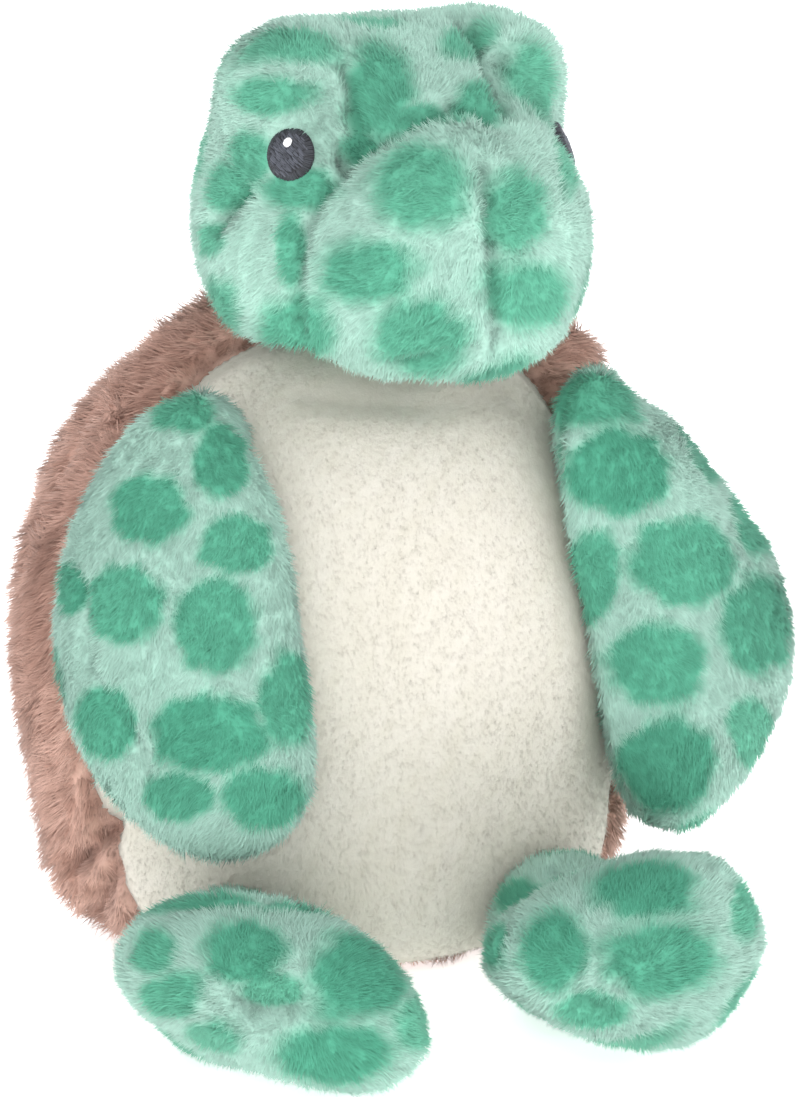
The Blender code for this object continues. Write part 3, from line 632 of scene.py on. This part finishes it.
# body
print("body")
level, evening = ((7, 200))
shellCovers = ["shell_rim_panel", "shell_back_panel"]
torsoForm = {
    "seam": 2.6 * mm, "seamWide": 3 * mm, "creamFill": 0.75, "brownFill": 0.7,
    "drawnFrom": 135 * mm, "drawnTo": 170 * mm, "drawnIn": 0.2, "drawnBack": 20 * mm, "creamAbove": 3.8 * mm,
    "pushes": {
        "shellEdge": ((50, 515), (-20, -6), 30 * mm), "rightShoulder": ((140, 335), (14, 8), 14 * mm),
        "leftShoulder": ((560, 362), (28, -22), 16 * mm), "shellFoot": ((70, 890), (-11, 3), 12 * mm),
    },
    "creases": {
        "bellyFold": ([(430, 828), (426, 858), (419, 887)], 0.4 * mm, 3 * mm),
        "chest": ([(300, 398), (350, 404), (430, 408), (510, 398)], 0.9 * mm, 5 * mm),
        "shellFold": ([(72, 862), (90, 852), (104, 838), (112, 820)], 5.5 * mm, 3.4 * mm),
        "lowFold": ([(100, 915), (104, 890), (114, 868)], 4.5 * mm, 3 * mm),
    },
}
torso = Skin(["belly_panel", *shellCovers], ["body_stuffing"], level, evening)
bellyTree = BVHTree.FromPolygons(*soupOf(["belly_panel"]))
shellTree = BVHTree.FromPolygons(*soupOf(shellCovers))


def drawnOver(points):  # the cream cloth is drawn up and back over the shoulders
    high = step(torsoForm["drawnFrom"], torsoForm["drawnTo"], points[:, 2])[:, None]
    return points * (1 - high * (torsoForm["drawnIn"], 0, 0)) - high * (0, torsoForm["drawnBack"], 0)


onBelly = np.array([
    p.z > torsoForm["creamAbove"] and bellyTree.find_nearest(p)[3] <= shellTree.find_nearest(p)[3]
    for p in map(Vector, drawnOver(torso.points[torso.faces].mean(1)))
])
bellyFaces, shellFaces = np.flatnonzero(onBelly), np.flatnonzero(~onBelly)
torsoGroups = [["belly_panel"], ["shell_rim_panel"], ["shell_back_panel"]]
torso.sewCovers(torsoGroups, torsoForm["seam"], torsoForm["seamWide"], None, drawnOver)
torso.shape(torsoForm)
creamTint, brownTint = twoTone(cream), twoTone(brown)
belly = skinPiece("bellyCover", torso, creamTint, creamClothFinish, "torso", bellyFaces, 1.0)
shell = skinPiece("shellCover", torso, brownTint, brownClothFinish, "torso", shellFaces)
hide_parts("belly_panel", "body_stuffing", "seat_bean_pouch")
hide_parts(*shellCovers)
growPile("bellyPile", torso, creamStyle, creamTint, combed((0, 0, -1)), "torso",
         creamPileFinish, bellyFaces)
growPile("shellPile", torso, brownStyle, brownTint, combed((0, 0.3, -1)), "torso",
         brownPileFinish, shellFaces)

neckForm = {"lowered": 8 * mm, "below": 174 * mm, "above": 181 * mm, "fill": 0.6}
neck = Skin(["neck_stuffing"], [], 4, 6)
upper = step(neckForm["below"], neckForm["above"], neck.points[:, 2])
neck.points[:, 2] -= neckForm["lowered"] * (1 - upper)  # its lower half goes down into the body's cloth
neck.refresh()
neckPiece = skinPiece("neckRing", neck, lambda p, n: np.tile(mint["spot"], (len(p), 1)), mintClothFinish,
                      "neck")
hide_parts("neck_stuffing")

# head
print("head")
headTurn = math.radians(18)  # to its left
headAside = np.array((math.cos(headTurn), math.sin(headTurn), 0))
headPivot = np.array((4, -14, 175)) * mm


def acrossHead(points):  # the same place on the other side of the head
    return points - 2 * ((points - headPivot) @ headAside)[:, None] * headAside


headForm = {
    "swells": {
        "rightBrow": ((285, 60), 2.5 * mm, 14 * mm), "leftBrow": ((535, 60), 3 * mm, 11 * mm),
        "rightSocket": ((352, 132), -4.5 * mm, 11 * mm), "leftSocket": ((478, 108), -2 * mm, 9 * mm),
        "noseBridge": ((425, 165), 3 * mm, 13 * mm), "cheeks": ((250, 290), 1.2 * mm, 14 * mm, acrossHead),
    },
    "creases": {
        "cheekSeams": ([(350, 75), (355, 115), (355, 150), (342, 175), (324, 192), (305, 230), (300, 280),
                        (298, 330)], 2.8 * mm, 2.4 * mm, acrossHead),
        "browSeam": ([(346, 160), (372, 146), (400, 132), (440, 112), (458, 106), (478, 112), (500, 128)],
                     3 * mm, 3.4 * mm),
        "noseSeam": ([(484, 165), (488, 190), (493, 240), (497, 300), (500, 345)], 3 * mm, 2.6 * mm),
        "mouthSeam": ([(350, 374), (395, 365), (440, 356), (480, 348), (560, 345)], 2.2 * mm, 2.8 * mm),
        "cheekDarts": ([(219, 219), (229, 209), (243, 194)], 6 * mm, 2.8 * mm, acrossHead),
        "crownSeam": ([(464, 20), (482, 42), (489, 62), (501, 90), (512, 115)], 4.2 * mm, 3.4 * mm),
    },
    "spots": [
        (267, 97, 82, 38, 0.6), (290, 42, 105, 30, 0.5), (380, 88, 70, 110, 0.75), (368, 24, 66, 16, 0.5),
        (465, 43, 46, 36, 0.55), (482, 105, 56, 52, 0.7), (535, 85, 44, 90, 0.5), (250, 158, 44, 56, 0.6),
        (298, 188, 80, 44, 0.75), (227, 187, 56, 50, 0.65), (210, 240, 28, 34, 0.5), (290, 250, 30, 84, 0.75),
        (223, 307, 42, 62, 0.7), (298, 330, 84, 66, 0.75), (418, 185, 98, 92, 0.6), (366, 273, 96, 66, 0.75),
        (420, 345, 96, 74, 0.65), (518, 210, 66, 84, 0.6), (532, 297, 90, 70, 0.65), (512, 372, 74, 28, 0.6),
        (372, 380, 70, 22, 0.8), (566, 165, 24, 60, 0.5), (364, 150, 36, 40, 0.8), (425, 120, 96, 26, 0.7),
    ],
    # the head's light mint is made paler by a painted light
    "seed": 3, "edge": 0.35, "paintedLight": 1.07,
    "seam": 1.6 * mm, "seamWide": 2.6 * mm, "sight": (0.05, 0.3), "folds": 80, "fill": 0.8, "nose": (500, 250),
}
headCovers = ["right_cheek_panel", "left_cheek_panel", "crown_panel", "right_muzzle_panel",
              "left_muzzle_panel", "chin_panel"]
head = Skin(headCovers, ["head_stuffing"], level)
headGroups = [["right_cheek_panel"], ["left_cheek_panel"], ["crown_panel"],
              ["right_muzzle_panel", "left_muzzle_panel"], ["chin_panel"]]
headBehind = 1 - step(*headForm["sight"], head.facing())  # in sight, the creases are the seams
head.sewCovers(headGroups, headForm["seam"], headForm["seamWide"], headBehind)
head.shape(headForm)
headSpots = Spots(head, headForm)

eyes = {}
for side in ("right", "left"):
    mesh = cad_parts[side + "_eye"].data
    low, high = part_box(side + "_eye")
    centre = np.array((low + high) / 2)
    normal = np.zeros(3)
    for face in mesh.polygons:
        flat = np.array(face.normal)
        if flat @ (centre - head.middle) > 0:
            normal += flat * face.area
    normal = unit(normal)
    across = unit(np.cross((0, 0, 1), normal))
    eyes[side] = {"centre": centre, "normal": normal, "across": across, "up": np.cross(normal, across)}
eyeLook = {
    "wide": 12.6 * mm, "high": 13.8 * mm, "lift": 2.9 * mm, "sunk": 1.5 * mm, "pad": 0.25 * mm,
    "round": 0.55, "drop": 0.45, "dropFrom": 0.8, "seated": 1 * mm,  # a dome whose rim drops off
    "bareFrom": 8 * mm, "bareTo": 12 * mm,  # past this depth, the oval doesn't keep the pile off
    "padColour": (0.012, 0.013, 0.018, 1), "thread": linear("484B54"), "white": linear("F4F4F6"),
}


def bareAtEyes(points):  # below 1 inside an eye's oval
    nearest = np.full(len(points), 9.0)
    for eye in eyes.values():
        away = points - eye["centre"]
        off = np.hypot(away @ eye["across"] / (eyeLook["wide"] / 2), away @ eye["up"] / (eyeLook["high"] / 2))
        off += 10 * step(eyeLook["bareFrom"], eyeLook["bareTo"], np.abs(away @ eye["normal"]))
        nearest = np.minimum(nearest, off)
    return nearest


noseTip = np.array(head.seen(*headForm["nose"])[0])


def headComb(points, normals):
    away = points - noseTip
    return away / np.maximum(np.linalg.norm(away, axis=1, keepdims=True), 20 * mm) + np.array((0, 0, -0.5))


head.sink(headForm["folds"])
headPiece = skinPiece("headPlush", head, headSpots.tint, mintClothFinish, "head")
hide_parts(*headCovers, "head_stuffing")
growPile("headPile", head, mintStyle | {"pieces": 2}, headSpots.tint, headComb, "head",
         mintPileFinish, None, bareAtEyes)

# eyes
print("eyes")
threadFinish = Finish("eyeThread", roughness=0.5, sheen=0.15, sheenTint=(0.8, 0.85, 1), specular=0.5)
threadTint = threadFinish.tint()
plies = threadFinish.noise(scale=2600, detail=2, rough=0.5)
threadFinish.wear(Base_Color=threadFinish.scaled(threadTint, 0.75 + plies * 0.5), Roughness=0.42 + plies * 0.25)
threadFinish.bumped(plies, strength=0.35, depth=0.1 * mm)

stitching = {
    "apart": 0.42 * mm, "long": 2.4 * mm, "thick": 0.27 * mm, "slant": math.radians(-38), "inside": 0.9,
    "rows": 0.86, "step": 0.86, "stops": (0.0, 0.2, 0.5, 0.8, 1.0),
    "rim": 84, "rimLong": 2.0 * mm, "swell": np.array((0, 0.9, 1, 0.9, 0)), "sides": 6, "soft": 0.25,
}
glint = {"stitches": 7, "aside": 0.02, "wide": 0.13, "high": 0.2, "up": 0.42, "slant": 0.03, "lift": 0.28 * mm}


def domeAt(eye, u, v, lift=0.0):  # a place on the eye's dome from shares of its half sizes
    off = np.clip(np.hypot(u, v), 0, 1)
    crown = np.sqrt(1 - eyeLook["round"] * off ** 2) - eyeLook["drop"] * step(eyeLook["dropFrom"], 1, off)
    rise = eyeLook["lift"] * crown + lift
    across = u * eyeLook["wide"] / 2
    upward = v * eyeLook["high"] / 2
    return (eye["centre"] + across[..., None] * eye["across"] + upward[..., None] * eye["up"]
            + (rise - eyeLook["seated"])[..., None] * eye["normal"])


def stitchLines(eye, starts, ends, lift):
    stops = []
    for share in stitching["stops"]:
        at = starts + (ends - starts) * share
        high = lift + stitching["thick"] * (0.2 if share in (0.0, 1.0) else 0.75)
        stops.append(domeAt(eye, at[:, 0], at[:, 1], high - stitching["thick"]))
    return np.stack(stops, 1)


def makePad(side):  # the dark cloth under the stitches
    eye = eyes[side]
    dome = bmesh.new()
    bmesh.ops.create_uvsphere(dome, u_segments=48, v_segments=24, radius=1)
    for vert in dome.verts:
        u, v, w = vert.co
        top = domeAt(eye, np.array([u]), np.array([v]), -eyeLook["pad"])[0]
        vert.co = top if w >= -0.01 else top + eye["normal"] * w * (eyeLook["sunk"] + eyeLook["lift"])
    bmesh.ops.recalc_face_normals(dome, faces=dome.faces)
    mesh = bpy.data.meshes.new(side + "EyePad")
    dome.to_mesh(mesh)
    dome.free()
    mesh.shade_smooth()
    paint = mesh.color_attributes.new("tint", "FLOAT_COLOR", "POINT")
    paint.data.foreach_set("color", np.tile(eyeLook["padColour"], len(mesh.vertices)).astype(np.float32))
    pad = pieceOf(side + "EyePad", mesh, threadFinish.material, "head")
    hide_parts(side + "_eye")


def makeStitches(side):  # slanting rows over the middle, and a rim of stitches that point inward
    eye = eyes[side]
    slant = stitching["slant"]
    run, cross = np.array((math.cos(slant), math.sin(slant))), np.array((-math.sin(slant), math.cos(slant)))
    half = eyeLook["wide"] / 2
    pairs = []
    for row in np.arange(-stitching["rows"], stitching["rows"], stitching["apart"] / half):
        at = -1 + dice.uniform(0, stitching["long"] / half)
        while at < 1:
            size = stitching["long"] / half * dice.uniform(0.7, 1.2)
            pair = [run * at + cross * row, run * (at + size) + cross * (row + dice.normal(0, 0.02))]
            if max(np.hypot(*pair[0]), np.hypot(*pair[1])) < stitching["inside"]:
                pairs.append(pair)
            at += size * stitching["step"]
    turns = np.linspace(0, 2 * math.pi, stitching["rim"], endpoint=False) + dice.normal(0, 0.012, stitching["rim"])
    rims = np.stack([np.cos(turns), np.sin(turns)], 1)
    inner = 1 - stitching["rimLong"] / half * dice.uniform(0.85, 1.1, stitching["rim"])
    starts = np.concatenate([np.array(pairs)[:, 0], rims * inner[:, None]])
    ends = np.concatenate([np.array(pairs)[:, 1], rims * 1.01])
    lines = stitchLines(eye, starts, ends, 0.0)
    count = len(lines)
    radii = stitching["thick"] * stitching["swell"][None] * dice.uniform(0.8, 1.15, (count, 1))
    dark = np.where(np.arange(count) < len(pairs), 1.0, 0.5) * dice.uniform(0.6, 1.4, count)
    tints = np.tile(eyeLook["thread"], (*lines.shape[:2], 1)) * dark[:, None, None]
    lean = np.tile(eye["normal"], (count, 1))
    mesh = strands(side + "EyeStitches", lines, radii, tints, lean, stitching["sides"], True, stitching["soft"])
    pieceOf(side + "EyeStitches", mesh, threadFinish.material, "head")


def makeGlint(side):  # a few white satin stitches side by side
    eye, count = eyes[side], glint["stitches"]
    spots = np.linspace(-1, 1, count)
    tall = glint["high"] * np.sqrt(1 - 0.6 * spots ** 2)
    across = (-glint["aside"] if side == "right" else glint["aside"]) + spots * glint["wide"]
    starts = np.stack([across + glint["slant"], glint["up"] + tall], 1)
    ends = np.stack([across - glint["slant"], glint["up"] - tall], 1)
    lines = stitchLines(eye, starts, ends, glint["lift"])
    radii = np.tile(stitching["thick"] * stitching["swell"], (count, 1))
    tints = np.tile(eyeLook["white"], (*lines.shape[:2], 1))
    lean = np.tile(eye["normal"], (count, 1))
    mesh = strands(side + "EyeGlint", lines, radii, tints, lean, stitching["sides"], True, stitching["soft"])
    piece = pieceOf(side + "EyeGlint", mesh, threadFinish.material, "head")
    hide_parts(side + "_eye_glint")


for side in ("right", "left"):
    makePad(side)
    makeStitches(side)
    makeGlint(side)

# arms and legs
print("arms")
rootStyle = mintStyle | {"hairs": 3500}
limbForm = {"seamWide": 2.4 * mm, "sight": (0.1, 0.4), "folds": 20, "fill": 0.7}
limbs = {
    "right_arm": {
        "name": "rightArm", "root": (np.array((-48, -46, 161)) * mm, 8 * mm, False),
        "covers": ["right_arm_front_panel", "right_arm_back_panel"],
        "inner": ["right_arm_stuffing"], "seam": 1.6 * mm, "edge": 0.19, "comb": (-0.25, 0, -1), "seed": 11,
        "creases": {
            "edgeSeam": ([(87, 485), (86, 585), (92, 665), (115, 710), (140, 745), (148, 768)], 1.3 * mm, 2.2 * mm),
        },
        "spots": [
            (182, 407, 66, 36), (222, 460, 56, 78), (147, 510, 80, 73), (237, 545, 76, 60), (124, 605, 80, 80),
            (70, 590, 30, 52), (215, 625, 85, 98), (290, 700, 54, 100), (210, 735, 120, 82), (105, 725, 64, 76),
            (177, 797, 72, 50), (264, 800, 84, 66),
        ],
    },
    "left_arm": {
        "name": "leftArm", "root": (np.array((61, -45, 159)) * mm, 6.5 * mm, True),
        "covers": ["left_arm_front_panel", "left_arm_back_panel"],
        "inner": ["left_arm_stuffing"], "seam": 1.6 * mm, "edge": 0.19, "comb": (0.25, 0, -1), "seed": 12,
        "pushes": {
            "shoulder": ((660, 388), (-18, 17), 18 * mm), "upperSide": ((712, 442), (-9, 9), 12 * mm),
            "side": ((745, 485), (-14, 15), 18 * mm), "bulge": ((785, 665), (12, 0), 22 * mm),
            "tip": ((668, 822), (2, 9), 12 * mm),
        },
        "spots": [
            (590, 392, 96, 58), (622, 472, 106, 86), (687, 562, 105, 90), (590, 580, 44, 95),
            (660, 665, 98, 86), (760, 625, 76, 100), (712, 470, 50, 56, 0.5), (670, 767, 95, 98),
            (594, 697, 36, 54), (752, 734, 44, 72, 0.4), (656, 828, 62, 18),
        ],
    },
    "right_leg": {
        "name": "rightLeg", "bend": np.array(((-36, -62, 24), (-40, -90, 24))) * mm,
        "covers": ["right_leg_panel", "right_sole_panel"],
        "inner": ["right_leg_stuffing"], "seam": 1.8 * mm, "edge": 0.28, "centre": (268, 1004), "seed": 13,
        "swells": {"instep": ((257, 888), -2.5 * mm, 12 * mm), "sole": ((285, 958), 2 * mm, 9 * mm)},
        "pushes": {"heel": ((188, 1070), (22, -29), 21 * mm), "underside": ((290, 1095), (0, -15), 18 * mm)},
        "creases": {
            "soleSeam": ([(128, 965), (140, 935), (158, 916), (190, 908), (260, 906), (312, 914), (356, 926),
                          (398, 958)], 1.6 * mm, 2.2 * mm),
            "tuft": ([(244, 1004), (262, 1011), (286, 1010)], 2.2 * mm, 3.4 * mm),
        },
        "spots": [
            (364, 972, 104, 90), (243, 950, 84, 64, 0.9), (271, 992, 64, 34, 0.4), (336, 1058, 124, 60),
            (214, 1036, 60, 44, 0.7), (150, 950, 44, 48, 0.7), (168, 998, 62, 44, 0.7), (200, 900, 120, 18, 0.8),
            (300, 912, 80, 16, 0.7), (420, 1020, 46, 56, 0.3),
        ],
    },
    "left_leg": {
        "name": "leftLeg", "bend": np.array(((36, -62, 24), (40, -90, 24))) * mm,
        "covers": ["left_leg_panel", "left_sole_panel"],
        "inner": ["left_leg_stuffing"], "seam": 1.8 * mm, "edge": 0.28, "centre": (606, 1004), "seed": 14,
        "swells": {"instep": ((652, 882), 3 * mm, 15 * mm), "inner": ((540, 892), -2 * mm, 9 * mm)},
        "pushes": {
            "heel": ((510, 1035), (14, -32), 18 * mm), "arch": ((540, 1045), (4, -18), 13 * mm),
            "underside": ((605, 1062), (0, -12), 14 * mm), "outside": ((755, 985), (-8, -10), 12 * mm),
            "top": ((700, 868), (14, -14), 14 * mm),
        },
        "creases": {
            "soleSeam": ([(494, 962), (502, 938), (522, 906), (556, 876), (606, 856), (655, 852), (705, 866),
                          (742, 900)], 1.6 * mm, 2.2 * mm),
            "tuft": ([(582, 1000), (598, 1007), (616, 1012)], 2.4 * mm, 3.2 * mm),
        },
        "spots": [
            (646, 885, 108, 58), (664, 960, 118, 78), (553, 950, 70, 82, 0.9), (593, 1009, 76, 40, 0.65),
            (746, 908, 32, 58, 0.5), (743, 990, 36, 46, 0.5), (614, 1041, 120, 28, 0.35), (521, 900, 52, 42, 0.8),
            (492, 944, 28, 44, 0.7), (640, 846, 90, 10, 0.6),
        ],
    },
}

for body, limb in limbs.items():
    if "bend" in limb:
        bends[body] = limb["bend"]
    skin = Skin(limb["covers"], limb["inner"], 6)
    behind = 1 - step(*limbForm["sight"], skin.facing()) if "creases" in limb else None
    skin.sewCovers([[cover] for cover in limb["covers"]], limb["seam"], limbForm["seamWide"], behind)
    skin.shape(limb)
    skin.sink(limbForm["folds"])
    spots = Spots(skin, limb)
    comb = combed(limb["comb"]) if "comb" in limb else combedFrom(skin.seen(*limb["centre"])[0])
    piece = skinPiece(limb["name"] + "Plush", skin, spots.tint, mintClothFinish, body)
    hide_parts(*limb["covers"], *limb["inner"])
    growPile(limb["name"] + "Pile", skin, mintStyle, spots.tint, comb, body, mintPileFinish)
    if "root" in limb:
        root = Root(torso, *limb["root"])
        rootPiece = skinPiece(limb["name"] + "Root", root, spots.tint, mintClothFinish, "torso")
        growPile(limb["name"] + "RootPile", root, rootStyle, spots.tint, comb, "torso",
                 mintPileFinish)

# stage, lights and camera
print("stage")
studio = {
    "sky": 0.89, "glow": 0.65, "paper": (0.98, 0.98, 0.98, 1), "half": 12, "aim": (0, 0, 0.12),
    "film": 36, "near": 0.05,
}
world = bpy.data.worlds.new("studio")
bpy.context.scene.world = world
world.use_nodes = True
world.node_tree.nodes["Background"].inputs["Color"].default_value = (1, 1, 1, 1)
world.node_tree.nodes["Background"].inputs["Strength"].default_value = studio["sky"]
bpy.context.scene.view_settings.view_transform = "Standard"

ground = bmesh.new()
bmesh.ops.create_grid(ground, x_segments=1, y_segments=1, size=studio["half"])
groundMesh = bpy.data.meshes.new("floor")
ground.to_mesh(groundMesh)
ground.free()
floor = bpy.data.objects.new("floor", groundMesh)
bpy.context.scene.collection.objects.link(floor)
paper = Finish("paleFloor", 0.9)
paper.wear(Base_Color=studio["paper"], Emission_Color=(1, 1, 1, 1), Emission_Strength=studio["glow"])
groundMesh.materials.append(paper.material)

lamps = {
    "key": {"at": (-0.9, -1.5, 1.5), "size": 1.6, "power": 5.5},
    "fill": {"at": (1.5, -1.0, 0.9), "size": 1.6, "power": 2.2},
    "front": {"at": (-0.2, -1.8, 0.12), "size": 1.4, "power": 15},
    "back": {"at": (0.4, 1.6, 1.8), "size": 1.4, "power": 16},
}
for name, lamp in lamps.items():
    light = bpy.data.lights.new(name, "AREA")
    light.energy, light.size = lamp["power"], lamp["size"]
    holder = bpy.data.objects.new(name, light)
    bpy.context.scene.collection.objects.link(holder)
    holder.location = lamp["at"]
    holder.rotation_euler = (Vector(lamp["at"]) - Vector(studio["aim"])).to_track_quat("Z", "Y").to_euler()

camData = bpy.data.cameras.new("photoCamera")
camera = bpy.data.objects.new("photoCamera", camData)
bpy.context.scene.collection.objects.link(camera)
camera.location = camEye
camera.rotation_euler = Vector(camBack).to_track_quat("Z", "Y").to_euler()
camData.sensor_width = studio["film"]
camData.lens = studio["film"] / (2 * halfTall)
camData.clip_start = studio["near"]
bpy.context.scene.camera = camera
